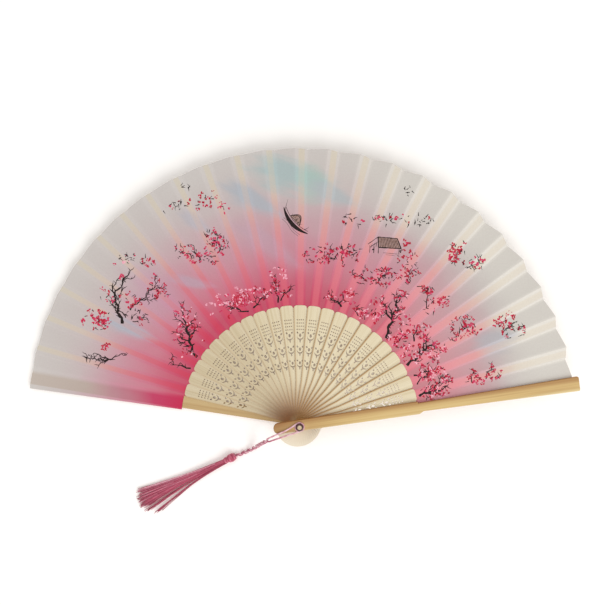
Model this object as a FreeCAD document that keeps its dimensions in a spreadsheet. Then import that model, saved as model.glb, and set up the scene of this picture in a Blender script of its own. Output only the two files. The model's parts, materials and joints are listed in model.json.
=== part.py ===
import FreeCAD, Part
import math
import os
import re
import Sketcher

# Folding fan of 21 cm: 23 pierced ribs between two guards, turning on one pin, with a pleated
# cloth leaf and a tassel. It is drawn open, lying on a table, in millimetres. The pin is the Z axis,
# and Z = 0 is the table under the back guard. Each stick is drawn along its own +X axis, then turned
# about the pin and lifted to its place in the stack, which climbs clockwise from the back guard.

SIZES = [
    # alias, value, what it is
    ("rib_count", 23, "inner ribs between the two guards"),
    ("back_angle", 170.5, "direction of the back guard in degrees from +X"),
    ("pitch_angle", 6.75, "turn from one stick to the next in degrees, fan open"),
    ("rib_thick", 0.62, "thickness of a rib's blade"),
    ("rib_pitch", 0.68, "height from one rib to the next"),
    ("stack_gap", 0.06, "air between the back guard and the first rib"),
    ("rib_tail", 15.8, "pin to the inner end of a rib"),
    ("rib_tail_width", 7.0, "width of a rib at its inner end"),
    ("rib_waist", 30.0, "pin to the narrowest place of a rib"),
    ("rib_waist_width", 5.4, "width of a rib at its narrowest"),
    ("rib_top", 82.0, "pin to the top of a rib's blade"),
    ("rib_top_width", 9.6, "width of a blade at its top"),
    ("rib_top_round", 2.4, "radius of a blade's top corners"),
    ("rib_tail_round", 3.3, "radius of a rib's inner corners"),
    ("slip_thick", 0.34, "thickness of the slip that carries the cloth"),
    ("slip_width", 5.4, "width of a slip where it leaves the blade"),
    ("slip_tip_width", 4.6, "width of a slip at its tip"),
    ("slip_tip", 185.0, "pin to the tip of a slip"),
    ("slip_root", 76.0, "pin to the buried end of a slip"),
    ("guard_thick", 2.2, "thickness of a guard over the ribs"),
    ("guard_relief", 0.3, "cut in a guard's inner face, where the leaf is glued"),
    ("guard_tail", 17.7, "pin to the inner end of a guard"),
    ("guard_head_out", 2.7, "from a guard's centre line to its outer edge at its inner end"),
    ("guard_head_in", 4.5, "from a guard's centre line to its inner edge at its inner end"),
    ("guard_shoulder", 82.0, "pin to the step in a guard's edges"),
    ("guard_shoulder_out", 3.7, "from a guard's centre line to its outer edge before the step"),
    ("guard_shoulder_in", 4.9, "from a guard's centre line to its inner edge before the step"),
    ("guard_arm_in", 3.9, "from a guard's centre line to its inner edge past the step"),
    ("guard_step", 1.6, "depth of the step in the outer edge"),
    ("guard_step_run", 3.0, "length of that step's slope"),
    ("guard_tip", 192.5, "pin to the tip of the front guard"),
    ("back_guard_tip", 187.4, "pin to the tip of the back guard, which the leaf covers"),
    ("guard_tip_out", 4.3, "from a guard's centre line to its outer edge at the tip"),
    ("guard_tip_in", 5.7, "from a guard's centre line to its inner edge at the tip"),
    ("guard_tip_round", 1.1, "radius of a guard's tip corners"),
    ("guard_head_round", 3.4, "radius of a guard's inner corners"),
    ("guard_edge_round", 0.45, "rounding of a guard's outer face"),
    ("pin_radius", 1.5, "radius of the pin's shank"),
    ("pin_clearance", 0.05, "running clearance of a stick on the pin"),
    ("pin_foot_radius", 2.1, "radius of the pin's foot, sunk in the back guard"),
    ("pin_foot_thick", 0.8, "thickness of the pin's foot"),
    ("pin_foot_clearance", 0.1, "clearance of the pin's foot in its seat"),
    ("pin_neck", 1.4, "height of the cord's groove, from the front guard to the cap"),
    ("pin_spigot_radius", 0.8, "radius of the spigot that the cap is pressed on"),
    ("pin_spigot", 0.9, "length of that spigot"),
    ("cap_radius", 2.7, "radius of the cap"),
    ("cap_rim", 0.5, "height of the cap's straight rim"),
    ("cap_dome", 0.9, "height of the cap's dome"),
    ("leaf_inner", 82.3, "pin to the inner edge of the leaf"),
    ("leaf_outer", 188.0, "pin to the outer edge of the leaf"),
    ("leaf_thick", 0.14, "thickness of the cloth"),
    ("leaf_film", 0.02, "glue between a slip and the cloth"),
    ("leaf_seam", 0.05, "gap between one panel's solid and the next"),
    ("leaf_edge_inner", 4.9, "from the back guard's centre line to the leaf's edge, inner end"),
    ("leaf_edge_outer", 7.3, "the same, outer end"),
    ("leaf_end_inset", 1.0, "from the front guard's centre line to the end of the leaf under it"),
    ("cord_diameter", 1.2, "diameter of one strand of the tassel's cord"),
    ("cord_ring_radius", 2.9, "radius of the cord's loose turn round the pin"),
    ("knot_length", 6.5, "length of the tassel's knot"),
    ("knot_radius", 3.0, "radius of the tassel's knot"),
    ("skirt_length", 71.0, "length of the tassel's skirt"),
    ("skirt_neck_width", 5.4, "width of the skirt under the knot"),
    ("skirt_end_width", 17.0, "width of the skirt at its loose end"),
    ("skirt_neck_thick", 5.0, "thickness of the skirt under the knot"),
    ("skirt_end_thick", 2.4, "thickness of the skirt at its loose end"),
    ("skirt_angle", 205.0, "direction of the skirt in degrees from +X"),
]

# The two strands of the cord, from the turn round the pin, over the front guard's inner end, down to
# the table and along it to the knot: corners of the route that their arcs round off.
STRANDS = {
    "tassel_strand_upper": [
        (-1.7, 2.4, 20.8),
        (-8.0, -2.0, 20.85),
        (-14.6, -4.7, 20.9),
        (-20.8, -7.5, 20.9),
        (-25.7, -11.4, 14.4),
        (-28.8, -15.0, 6.6),
        (-33.2, -18.7, 1.7),
        (-39.4, -21.8, 0.75),
        (-45.8, -23.9, 2.3),
    ],
    "tassel_strand_lower": [
        (1.5, -2.5, 20.8),
        (-6.2, -5.0, 20.85),
        (-13.2, -7.4, 20.9),
        (-19.9, -9.6, 20.9),
        (-25.1, -13.4, 14.4),
        (-28.4, -16.9, 6.6),
        (-32.8, -20.4, 1.7),
        (-39.0, -23.4, 0.75),
        (-45.3, -25.5, 2.3),
    ],
}

# A rib's piercing: a grid of pinholes, then three buds, each of three ovals over a forked stem.
GRID_ROWS = 4
GRID_COLUMNS = 4
PIERCING = [
    ("grid_first", 65.5, "pin to the first row of pinholes"),
    ("grid_row", 2.2, "distance between rows of pinholes"),
    ("grid_column", 1.4, "distance between columns of pinholes"),
    ("grid_hole_radius", 0.44, "radius of a pinhole"),
    ("bud_outer", 56.6, "pin to the outermost bud's foot"),
    ("bud_spacing", 9.3, "distance from one bud to the next"),
    ("bud_scale", 1.06, "size of the outermost bud, as a share of the drawn one"),
    ("bud_scale_step", 0.05, "how much smaller each bud is than the one outside it"),
]
BUD_COUNT = 3

doc = FreeCAD.newDocument("folding_fan")
sheet = doc.addObject("Spreadsheet::Sheet", "Sizes")
for row, (alias, value, note) in enumerate(SIZES + PIERCING, start=1):
    sheet.set(f"A{row}", note)
    sheet.set(f"B{row}", str(value))
    sheet.setAlias(f"B{row}", alias)
doc.recompute()


def size(expression):
    """The value of an expression in the sheet's aliases."""
    result = sheet.evalExpression(bound(expression))
    return float(getattr(result, "Value", result))


def bound(expression):
    """The expression with each alias written as the document's expressions want it."""
    return re.sub(r"[a-z_]+", lambda word: NAMED.get(word[0], word[0]), expression)


NAMED = {alias: f"Sizes.{alias}" for alias, value, note in SIZES + PIERCING}


def new_body(name):
    """An empty body labelled with its sub-part's name."""
    body = doc.addObject("PartDesign::Body", name)
    body.Label = name
    return body


def place(body, angle, height):
    """Turn a body about the pin and lift it, both bound to the sheet."""
    turn = FreeCAD.Rotation(FreeCAD.Vector(0, 0, 1), size(angle))
    body.Placement = FreeCAD.Placement(FreeCAD.Vector(0, 0, size(height)), turn)
    body.setExpression("Placement.Base.z", bound(height))
    body.setExpression("Placement.Rotation.Angle", bound(angle))


def new_sketch(body, name, plane="XY_Plane", offset=None):
    """A sketch on one of the body's own planes, moved off it by an expression."""
    sketch = body.newObject("Sketcher::SketchObject", name)
    support = next(f for f in body.Origin.OriginFeatures if f.Role == plane)
    sketch.AttachmentSupport = (support, "")
    sketch.MapMode = "FlatFace"
    if offset:
        sketch.setExpression("AttachmentOffset.Base.z", bound(offset))
    return sketch


class Drawing:
    """A sketch's geometry and constraints, gathered here and added to the sketch all at once."""

    def __init__(self, sketch):
        self.sketch = sketch
        self.geometry = []
        self.constraints = []
        self.bindings = []

    def add(self, edge):
        self.geometry.append(edge)
        return len(self.geometry) - 1

    def tie(self, *link):
        self.constraints.append(Sketcher.Constraint(*link))

    def bind(self, expression, *link):
        """A constraint whose value is an expression of the sheet."""
        self.bindings.append((len(self.constraints), expression))
        self.tie(*link, size(expression))

    def hold(self, geometry, end, x, y):
        """Hold a point at x and y, each an expression of the sheet, or None on the axis."""
        for kind, axis, expression in (("DistanceX", -2, x), ("DistanceY", -1, y)):
            if expression is None:
                self.tie("PointOnObject", geometry, end, axis)
            else:
                self.bind(expression, kind, -1, 1, geometry, end)

    def polygon(self, corners):
        """A closed outline of straight edges through corners given as pairs of expressions."""
        points = [
            FreeCAD.Vector(size(x) if x else 0, size(y) if y else 0, 0) for x, y in corners
        ]
        first = len(self.geometry)
        for start, end in zip(points, points[1:] + points[:1]):
            self.add(Part.LineSegment(start, end))
        for i, (x, y) in enumerate(corners):
            self.tie("Coincident", first + i, 2, first + (i + 1) % len(corners), 1)
            self.hold(first + i, 1, x, y)

    def circle(self, radius, x=None, y=None):
        """A circle whose radius and centre are bound to the sheet."""
        centre = FreeCAD.Vector(size(x) if x else 0, size(y) if y else 0, 0)
        index = self.add(Part.Circle(centre, FreeCAD.Vector(0, 0, 1), size(radius)))
        self.bind(radius, "Radius", index)
        self.hold(index, 3, x, y)

    def finish(self):
        self.sketch.addGeometry(self.geometry, False)
        self.sketch.addConstraint(self.constraints)
        for index, expression in self.bindings:
            self.sketch.setExpression(f"Constraints[{index}]", bound(expression))
        return self.sketch


def polygon_sketch(body, name, corners, plane="XY_Plane", offset=None):
    """A sketch of one closed polygon."""
    drawing = Drawing(new_sketch(body, name, plane, offset))
    drawing.polygon(corners)
    return drawing.finish()


def circle_sketch(body, name, radius, plane="XY_Plane"):
    """A sketch of one circle about the origin."""
    drawing = Drawing(new_sketch(body, name, plane))
    drawing.circle(radius)
    return drawing.finish()


def pad(body, sketch, name, length, reverse=False):
    """Pad a sketch by an expression."""
    feature = body.newObject("PartDesign::Pad", name)
    feature.Profile = sketch
    feature.Reversed = reverse
    feature.setExpression("Length", bound(length))
    return feature


def cut_through(body, sketch, name):
    """Cut a sketch of the body's underside up through the whole body."""
    feature = body.newObject("PartDesign::Pocket", name)
    feature.Profile = sketch
    feature.Type = "ThroughAll"
    feature.Reversed = True
    return feature


def edges_where(feature, wanted):
    """Names of the feature's edges that a test picks."""
    doc.recompute()
    return [f"Edge{i}" for i, edge in enumerate(feature.Shape.Edges, start=1) if wanted(edge)]


def round_edges(body, base, name, wanted, radius):
    """Fillet the edges of a feature that a test picks."""
    names = edges_where(base, wanted)
    feature = body.newObject("PartDesign::Fillet", name)
    feature.Base = (base, names)
    feature.setExpression("Radius", bound(radius))
    return feature


def upright(edge):
    """Whether an edge stands straight up."""
    start, end = edge.Vertexes[0].Point, edge.Vertexes[-1].Point
    return math.hypot(start.x - end.x, start.y - end.y) < 1e-6


def stick_height(number):
    """Height of a stick's underside; 0 is the back guard, and the front guard follows the last rib."""
    if number == 0:
        return "0"
    return f"guard_thick + stack_gap + {number - 1} * rib_pitch"


def stick_angle(number):
    """Direction of a stick, counted clockwise from the back guard."""
    return f"back_angle - {number} * pitch_angle"


def draw_bud(drawing, foot, scale):
    """One pierced bud: a forked stem, a long oval in the fork and a small oval each side of it."""

    def at(along, across):
        return FreeCAD.Vector(foot + along * scale, across * scale, 0)

    def oval(along, across, long_radius, short_radius, lean):
        angle = math.radians(lean)
        major = FreeCAD.Vector(math.cos(angle), math.sin(angle), 0) * long_radius * scale
        minor = FreeCAD.Vector(-math.sin(angle), math.cos(angle), 0) * short_radius * scale
        centre = at(along, across)
        index = drawing.add(Part.Ellipse(centre + major, centre + minor, centre))
        drawing.tie("Block", index)

    oval(4.6, 0.0, 1.15, 0.75, 0)
    oval(6.3, 1.75, 0.75, 0.52, 35)
    oval(6.3, -1.75, 0.75, 0.52, -35)
    fork = [
        Part.Arc(at(4.3, 2.15), at(2.25, 1.52), at(1.4, 0.4)),
        Part.LineSegment(at(1.4, 0.4), at(0.0, 0.34)),
        Part.LineSegment(at(0.0, 0.34), at(0.0, -0.34)),
        Part.LineSegment(at(0.0, -0.34), at(1.4, -0.4)),
        Part.Arc(at(1.4, -0.4), at(2.25, -1.52), at(4.3, -2.15)),
        Part.Arc(at(4.3, -2.15), at(2.4, 0.0), at(4.3, 2.15)),
    ]
    for edge in fork:
        drawing.tie("Block", drawing.add(edge))


def pierce(body, name):
    """The pin's hole, the grid of pinholes and the buds of one rib."""
    drawing = Drawing(new_sketch(body, f"{name}_piercing"))
    drawing.circle("pin_radius + pin_clearance")
    for row in range(GRID_ROWS):
        for column in range(GRID_COLUMNS):
            side = column - (GRID_COLUMNS - 1) / 2
            row_at = f"grid_first + {row} * grid_row"
            drawing.circle("grid_hole_radius", row_at, f"{side} * grid_column")
    for bud in range(BUD_COUNT):
        foot = size(f"bud_outer - {bud} * bud_spacing")
        draw_bud(drawing, foot, size(f"bud_scale - {bud} * bud_scale_step"))
    return cut_through(body, drawing.finish(), f"{name}_pierced")


def make_rib(number):
    """One rib: a blade with rounded ends, a thin slip under the cloth, and the piercing."""
    name = f"rib_{number:02d}"
    body = new_body(name)
    blade = polygon_sketch(body, f"{name}_blade", [
        ("0 - rib_tail", "0 - rib_tail_width / 2"),
        ("rib_waist", "0 - rib_waist_width / 2"),
        ("rib_top", "0 - rib_top_width / 2"),
        ("rib_top", "rib_top_width / 2"),
        ("rib_waist", "rib_waist_width / 2"),
        ("0 - rib_tail", "rib_tail_width / 2"),
    ])
    blade_pad = pad(body, blade, f"{name}_blade_pad", "rib_thick")
    tops = round_edges(
        body, blade_pad, f"{name}_top_round",
        lambda edge: upright(edge) and edge.Vertexes[0].X > size("rib_waist") + 1, "rib_top_round")
    round_edges(
        body, tops, f"{name}_tail_round",
        lambda edge: upright(edge) and edge.Vertexes[0].X < 0, "rib_tail_round")
    slip = polygon_sketch(body, f"{name}_slip", [
        ("slip_root", "0 - slip_width / 2"),
        ("slip_tip", "0 - slip_tip_width / 2"),
        ("slip_tip", "slip_tip_width / 2"),
        ("slip_root", "slip_width / 2"),
    ])
    pad(body, slip, f"{name}_slip_pad", "slip_thick")
    pierce(body, name)
    place(body, stick_angle(number), stick_height(number))
    return body


def make_guard(name, number, outer_side, face_up):
    """One guard. outer_side is +1 where its free edge is at +Y; face_up tells whether its outer face
    is on top. Its inner face is cut back where the leaf is glued to it."""
    body = new_body(name)
    sign = "1" if outer_side > 0 else "-1"
    tip = "guard_tip" if face_up else "back_guard_tip"
    head = polygon_sketch(body, f"{name}_head", [
        ("0 - guard_tail", f"{sign} * guard_head_out"),
        ("guard_shoulder", f"{sign} * guard_shoulder_out"),
        ("guard_shoulder", f"0 - {sign} * guard_shoulder_in"),
        ("0 - guard_tail", f"0 - {sign} * guard_head_in"),
    ])
    head_pad = pad(body, head, f"{name}_head_pad", "guard_thick")
    head_round = round_edges(
        body, head_pad, f"{name}_head_round",
        lambda edge: upright(edge) and edge.Vertexes[0].X < 0, "guard_head_round")
    arm = polygon_sketch(body, f"{name}_arm", [
        ("guard_shoulder", f"{sign} * guard_shoulder_out"),
        ("guard_shoulder + guard_step_run", f"{sign} * ( guard_shoulder_out - guard_step )"),
        (tip, f"{sign} * guard_tip_out"),
        (tip, f"0 - {sign} * guard_tip_in"),
        ("guard_shoulder", f"0 - {sign} * guard_arm_in"),
    ], offset="guard_relief" if face_up else None)
    arm_pad = pad(body, arm, f"{name}_arm_pad", "guard_thick - guard_relief")
    tip_round = round_edges(
        body, arm_pad, f"{name}_tip_round",
        lambda edge: upright(edge) and edge.Vertexes[0].X > size(tip) - 1, "guard_tip_round")
    outer_z = size("guard_thick") if face_up else 0.0

    def on_outer_face(edge):
        return all(abs(v.Z - outer_z) < 1e-6 for v in edge.Vertexes) and abs(
            edge.valueAt((edge.FirstParameter + edge.LastParameter) / 2).z - outer_z) < 1e-6

    soft = round_edges(body, tip_round, f"{name}_edge_round", on_outer_face, "guard_edge_round")
    hole = circle_sketch(body, f"{name}_hole", "pin_radius + pin_clearance")
    cut_through(body, hole, f"{name}_pin_hole")
    if not face_up:
        seat = circle_sketch(body, f"{name}_foot_seat", "pin_foot_radius + pin_foot_clearance")
        pocket = body.newObject("PartDesign::Pocket", f"{name}_foot_pocket")
        pocket.Profile = seat
        pocket.Reversed = True
        pocket.setExpression("Length", bound("pin_foot_thick"))
    place(body, stick_angle(number), stick_height(number))
    return body


def leaf_seat(number):
    """Height of the cloth's underside on a stick."""
    last = int(size("rib_count")) + 1
    if number == 0:
        return "guard_thick - guard_relief + leaf_film"
    if number == last:
        return f"{stick_height(number)} + guard_relief - leaf_thick - leaf_film"
    return f"{stick_height(number)} + slip_thick + leaf_film"


def make_leaf(number):
    """One panel of the leaf: flat on its own slip, then rising to the next one's near edge."""
    name = f"leaf_{number:02d}"
    body = new_body(name)
    last = int(size("rib_count")) + 1
    low, high = leaf_seat(number - 1), leaf_seat(number)
    profiles = []
    for label, reach, width, edge in (
        ("inner", "leaf_inner", "slip_width", "leaf_edge_inner"),
        ("outer", "leaf_outer", "slip_tip_width", "leaf_edge_outer"),
    ):
        half_gap = f"{reach} * tan(pitch_angle / 2)"
        start = f"{half_gap} + {width} / 2"
        fold = f"{half_gap} - {width} / 2"
        stop = f"0 - {half_gap} + {width} / 2 + leaf_seam"
        if number == 1:
            start = f"{half_gap} + {edge}"
        if number == last:
            stop = f"0 - {half_gap} + leaf_end_inset"
        profiles.append(polygon_sketch(body, f"{name}_{label}", [
            (start, low),
            (fold, low),
            (stop, high),
            (stop, f"{high} + leaf_thick"),
            (fold, f"{low} + leaf_thick"),
            (start, f"{low} + leaf_thick"),
        ], "YZ_Plane", reach))
    loft = body.newObject("PartDesign::AdditiveLoft", f"{name}_cloth")
    loft.Profile = profiles[0]
    loft.Sections = profiles[1:]
    loft.Ruled = True
    place(body, f"back_angle - {number - 0.5} * pitch_angle", "0")
    return body


def make_turned(name, corners):
    """A turned piece: a half outline in the XZ plane, given as radius and height, revolved."""
    body = new_body(name)
    sketch = polygon_sketch(body, f"{name}_outline", corners, "XZ_Plane")
    turned = body.newObject("PartDesign::Revolution", f"{name}_turned")
    turned.Profile = sketch
    turned.ReferenceAxis = (sketch, ["V_Axis"])
    turned.Angle = 360
    return body, turned


def guard_top():
    """Height of the front guard's outer face."""
    return f"{stick_height(int(size('rib_count')) + 1)} + guard_thick"


def make_pin():
    """The pin: a sunk foot, the shank through every stick, a neck for the cord and a spigot."""
    neck_top = f"{guard_top()} + pin_neck"
    return make_turned("pivot_pin", [
        (None, None),
        ("pin_foot_radius", None),
        ("pin_foot_radius", "pin_foot_thick"),
        ("pin_radius", "pin_foot_thick"),
        ("pin_radius", neck_top),
        ("pin_spigot_radius", neck_top),
        ("pin_spigot_radius", f"{neck_top} + pin_spigot"),
        (None, f"{neck_top} + pin_spigot"),
    ])


def make_cap():
    """The cap pressed on the pin's spigot, domed by a large fillet."""
    base = f"{guard_top()} + pin_neck"
    top = f"{base} + cap_rim + cap_dome"
    body, turned = make_turned("pin_cap", [
        ("pin_spigot_radius", base),
        ("cap_radius", base),
        ("cap_radius", top),
        (None, top),
        (None, f"{base} + pin_spigot"),
        ("pin_spigot_radius", f"{base} + pin_spigot"),
    ])
    top_z = size(top)
    round_edges(body, turned, "pin_cap_dome",
                lambda edge: abs(edge.CenterOfMass.z - top_z) < 1e-6, "cap_dome")
    return body


def make_ring():
    """The cord's turn round the pin's neck."""
    ring = doc.addObject("Part::Torus", "tassel_ring")
    ring.Label = "tassel_ring"
    ring.setExpression("Radius1", bound("cord_ring_radius"))
    ring.setExpression("Radius2", bound("cord_diameter / 2"))
    height = f"{guard_top()} + cord_diameter / 2 + 0.05"
    ring.Placement = FreeCAD.Placement(FreeCAD.Vector(0, 0, size(height)), FreeCAD.Rotation())
    ring.setExpression("Placement.Base.z", bound(height))
    return ring


def rounded_route(corners):
    """A wire of straight runs and tangent arcs through a strand's corners, and the arcs' radii."""
    share = 0.45
    points = [FreeCAD.Vector(*corner) for corner in corners]
    edges, radii, here = [], [], points[0]
    for before, corner, after in zip(points, points[1:], points[2:]):
        inward, outward = (before - corner), (after - corner)
        reach = share * min(inward.Length, outward.Length)
        turn = math.pi - inward.getAngle(outward)
        radii.append(reach / math.tan(turn / 2))
        start = corner + inward.normalize() * reach
        end = corner + outward.normalize() * reach
        bisector = (inward + outward).normalize()
        depth = math.hypot(radii[-1], reach) - radii[-1]
        middle = corner + bisector * depth
        edges.append(Part.LineSegment(here, start).toShape())
        edges.append(Part.Arc(start, middle, end).toShape())
        here = end
    edges.append(Part.LineSegment(here, points[-1]).toShape())
    return Part.Wire(edges), radii


def make_strand(name, corners):
    """One strand of the cord, a round tube along its route."""
    wire, radii = rounded_route(corners)
    start = wire.Edges[0]
    direction = start.tangentAt(start.FirstParameter)
    circle = Part.Circle(start.valueAt(start.FirstParameter), direction, size("cord_diameter") / 2)
    tube = wire.makePipeShell([Part.Wire([circle.toShape()])], True, False)
    section = math.pi * size("cord_diameter") ** 2 / 4
    print(name, "length", round(wire.Length, 1), "radii", [round(r, 1) for r in radii],
          "volume share", round(tube.Volume / (section * wire.Length), 3))
    feature = doc.addObject("Part::Feature", name)
    feature.Label = name
    feature.Shape = tube
    return feature


def make_knot():
    """The knot that gathers the cord into the skirt: a turned barrel lying along the skirt."""
    body = new_body("tassel_knot")
    sketch = circle_sketch(body, "tassel_knot_outline", "knot_radius", "YZ_Plane")
    barrel = pad(body, sketch, "tassel_knot_barrel", "knot_length")
    round_edges(body, barrel, "tassel_knot_round",
                lambda edge: len(edge.Vertexes) == 1, "knot_radius * 0.6")
    lay_on_table(body, KNOT_START, "knot_radius")
    return body


KNOT_START = (-45.0, -24.3)


def lay_on_table(body, start, height, along="0"):
    """Lay a piece of the tassel on the table, along the skirt's direction from the knot's start."""
    turn = FreeCAD.Rotation(FreeCAD.Vector(0, 0, 1), size("skirt_angle"))
    x = f"{start[0]} + ( {along} ) * cos(skirt_angle)"
    y = f"{start[1]} + ( {along} ) * sin(skirt_angle)"
    body.Placement = FreeCAD.Placement(FreeCAD.Vector(size(x), size(y), size(height)), turn)
    body.setExpression("Placement.Base.x", bound(x))
    body.setExpression("Placement.Base.y", bound(y))
    body.setExpression("Placement.Base.z", bound(height))
    body.setExpression("Placement.Rotation.Angle", bound("skirt_angle"))


def make_skirt():
    """The skirt of loose threads, as one flattened tapering solid."""
    body = new_body("tassel_skirt")
    profiles = []
    for label, reach, width, thick in (
        ("neck", "0.1", "skirt_neck_width", "skirt_neck_thick"),
        ("end", "skirt_length", "skirt_end_width", "skirt_end_thick"),
    ):
        profiles.append(polygon_sketch(body, f"tassel_skirt_{label}", [
            (f"0 - {width} / 2", "0.02"),
            (f"{width} / 2", "0.02"),
            (f"{width} / 2 - {thick} / 3", thick),
            (f"{thick} / 3 - {width} / 2", thick),
        ], "YZ_Plane", reach))
    loft = body.newObject("PartDesign::AdditiveLoft", "tassel_skirt_threads")
    loft.Profile = profiles[0]
    loft.Sections = profiles[1:]
    loft.Ruled = True
    lay_on_table(body, KNOT_START, "0", "knot_length")
    return body


def make_everything():
    """Every sub-part, in the order in which they lie on the table."""
    ribs = int(size("rib_count"))
    parts = [make_guard("back_guard", 0, 1, False)]
    parts += [make_rib(number) for number in range(1, ribs + 1)]
    parts += [make_guard("front_guard", ribs + 1, -1, True)]
    parts += [make_leaf(number) for number in range(1, ribs + 2)]
    parts += [make_pin()[0], make_cap(), make_ring()]
    parts += [make_strand(name, corners) for name, corners in STRANDS.items()]
    parts += [make_knot(), make_skirt()]
    return parts


def check(parts):
    """Stop with the name of anything that failed to build."""
    for item in doc.Objects:
        if "Invalid" in item.State or "Error" in item.State:
            raise RuntimeError(f"{item.Name} is {item.State}")
    for part in parts:
        shape = part.Shape
        if shape.isNull() or not shape.isValid() or not shape.Solids:
            raise RuntimeError(f"{part.Label} has no valid solid")


parts = make_everything()
doc.recompute()
check(parts)
os.makedirs("parts", exist_ok=True)
for part in parts:
    part.Shape.exportStep(os.path.join("parts", f"{part.Label}.step"))
print(len(parts), "sub-parts written")
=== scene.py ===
import json
import random
from math import asin, atan2, cos, degrees, hypot, pi, radians, sin, sqrt, tau

import bpy
from mathutils import Matrix, Vector, noise
from mathutils.geometry import delaunay_2d_cdt


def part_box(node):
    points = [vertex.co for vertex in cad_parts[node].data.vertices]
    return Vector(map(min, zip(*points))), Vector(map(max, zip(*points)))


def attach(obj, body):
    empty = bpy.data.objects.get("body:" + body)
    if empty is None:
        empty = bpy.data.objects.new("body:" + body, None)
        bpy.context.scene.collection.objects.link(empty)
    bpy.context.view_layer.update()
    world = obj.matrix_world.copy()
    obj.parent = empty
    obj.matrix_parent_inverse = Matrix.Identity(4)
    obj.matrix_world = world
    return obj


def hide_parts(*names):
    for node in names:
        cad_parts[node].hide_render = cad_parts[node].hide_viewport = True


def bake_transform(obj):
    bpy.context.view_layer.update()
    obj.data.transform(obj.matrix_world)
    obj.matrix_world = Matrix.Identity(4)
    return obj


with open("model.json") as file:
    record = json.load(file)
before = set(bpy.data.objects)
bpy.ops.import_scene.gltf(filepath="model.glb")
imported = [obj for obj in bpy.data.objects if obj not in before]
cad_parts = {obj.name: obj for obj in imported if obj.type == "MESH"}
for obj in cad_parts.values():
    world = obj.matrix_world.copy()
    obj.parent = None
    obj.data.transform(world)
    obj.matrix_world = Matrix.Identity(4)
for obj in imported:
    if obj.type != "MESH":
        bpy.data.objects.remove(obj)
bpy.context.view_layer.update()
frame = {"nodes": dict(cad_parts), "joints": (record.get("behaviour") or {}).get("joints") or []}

# -------- sizes, in millimetres and radians
MM = 0.001
RIBS = sum(1 for node in frame["nodes"] if node.startswith("rib_"))
LAST = RIBS + 1
PITCH = next(radians(j["range_deg"][1]) for j in frame["joints"] if j["name"] == "fold")
BACK_ANGLE = radians(170.5)
LEAF_INNER = 82.2
LEAF_OUTER = 188.0
CLOTH_THICK = 0.12
RIB_TAIL = 15.8
RIB_TAIL_HALF = 3.5
RIB_WAIST = 30.0
RIB_WAIST_HALF = 2.7
RIB_TOP = 82.0
RIB_TOP_HALF = 4.8
RIB_TOP_ROUND = 2.4
CORD_RADIUS = 0.6

# sizes of the cloth, each at the leaf's inner edge and at its outer edge
SLIP_HALF = (2.7, 2.3)
MOUNTAIN_REACH = (0.3, 2.1)
MOUNTAIN_LIFT = (0.0, 1.0)
VALLEY_REACH = (0.25, 1.5)
VALLEY_DROP = (0.1, 0.75)
BACK_GUARD_FLAT = (4.6, 6.1)
BACK_GUARD_EDGE = (4.9, 7.3)

# from a guard's centre line: to the last fold, and to the edge of the cloth's dyed strip
FRONT_GUARD_FOLD = 3.2
DYED_STRIP_EDGE = 4.2


def mm(point):
    """A point in millimetres, as a vector in metres."""
    return Vector(point) * MM


def stick_node(number):
    """Name of a stick's CAD node, the sticks being counted clockwise from the back guard."""
    if number == 0:
        return "back_guard"
    if number == LAST:
        return "front_guard"
    return f"rib_{number:02d}"


def stick_body(number):
    """Name of the body that carries a stick."""
    return f"{stick_node(number)}_body"


def stick_angle(number):
    """Direction in which a stick points."""
    return BACK_ANGLE - number * PITCH


SEATS = [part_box(f"leaf_{number + 1:02d}")[0].z / MM for number in range(LAST)]
SEATS.append(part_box(f"leaf_{LAST:02d}")[1].z / MM - CLOTH_THICK)


def mix(a, b, share):
    """The value a share of the way from a to b."""
    return a + (b - a) * share


def smooth(value):
    """0 below 0, 1 above 1, and a smooth step between."""
    value = min(max(value, 0.0), 1.0)
    return value * value * (3 - 2 * value)


# -------- the shape of the pleated cloth
def outward(radius):
    """0 at the leaf's inner edge and 1 at its outer edge."""
    return min(max((radius - LEAF_INNER) / (LEAF_OUTER - LEAF_INNER), 0.0), 1.0)


def at_radius(sizes, radius):
    """A size of the cloth at a radius, from its sizes at the leaf's two edges."""
    return mix(*sizes, outward(radius))


def slip_half(radius):
    """Half the width of a slip."""
    return at_radius(SLIP_HALF, radius)


def mountain_offset(radius):
    """From a slip's centre line to the fold that stands up beside it, counter-clockwise."""
    return slip_half(radius) + at_radius(MOUNTAIN_REACH, radius)


def flat_half(gap, radius):
    """How far the cloth lies flat clockwise of a gap's first stick."""
    return at_radius(BACK_GUARD_FLAT, radius) if gap == 1 else slip_half(radius)


def valley_offset(gap, radius):
    """From a gap's first stick to the fold that dips beside it, clockwise."""
    return flat_half(gap, radius) + at_radius(VALLEY_REACH, radius)


def crispness(gap):
    """How strongly a gap's folds stand: the leaf is pulled flatter towards the back guard."""
    flattest, first_gap, over_gaps = 0.35, 8, 8
    return mix(flattest, 1.0, smooth((gap - first_gap) / over_gaps))


def mountain_lift(gap, radius):
    """How far a gap's mountain stands above its second slip."""
    return crispness(gap) * at_radius(MOUNTAIN_LIFT, radius) if gap < LAST else 0.0


def valley_drop(gap, radius):
    """How far a gap's valley dips below its first slip."""
    return crispness(gap) * at_radius(VALLEY_DROP, radius) if gap > 1 else 0.0


def folds(gap, radius):
    """Angles, from a gap's first stick, of its valley and of its mountain."""
    valley = asin(valley_offset(gap, radius) / radius)
    reach = FRONT_GUARD_FOLD if gap == LAST else mountain_offset(radius)
    return valley, PITCH - asin(reach / radius)


# unevenness of the cloth: height in millimetres, waves in a millimetre, place in the noise
CRUMPLES = [(0.16, 0.045, 1.7), (0.05, 0.16, 8.2)]


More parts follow.
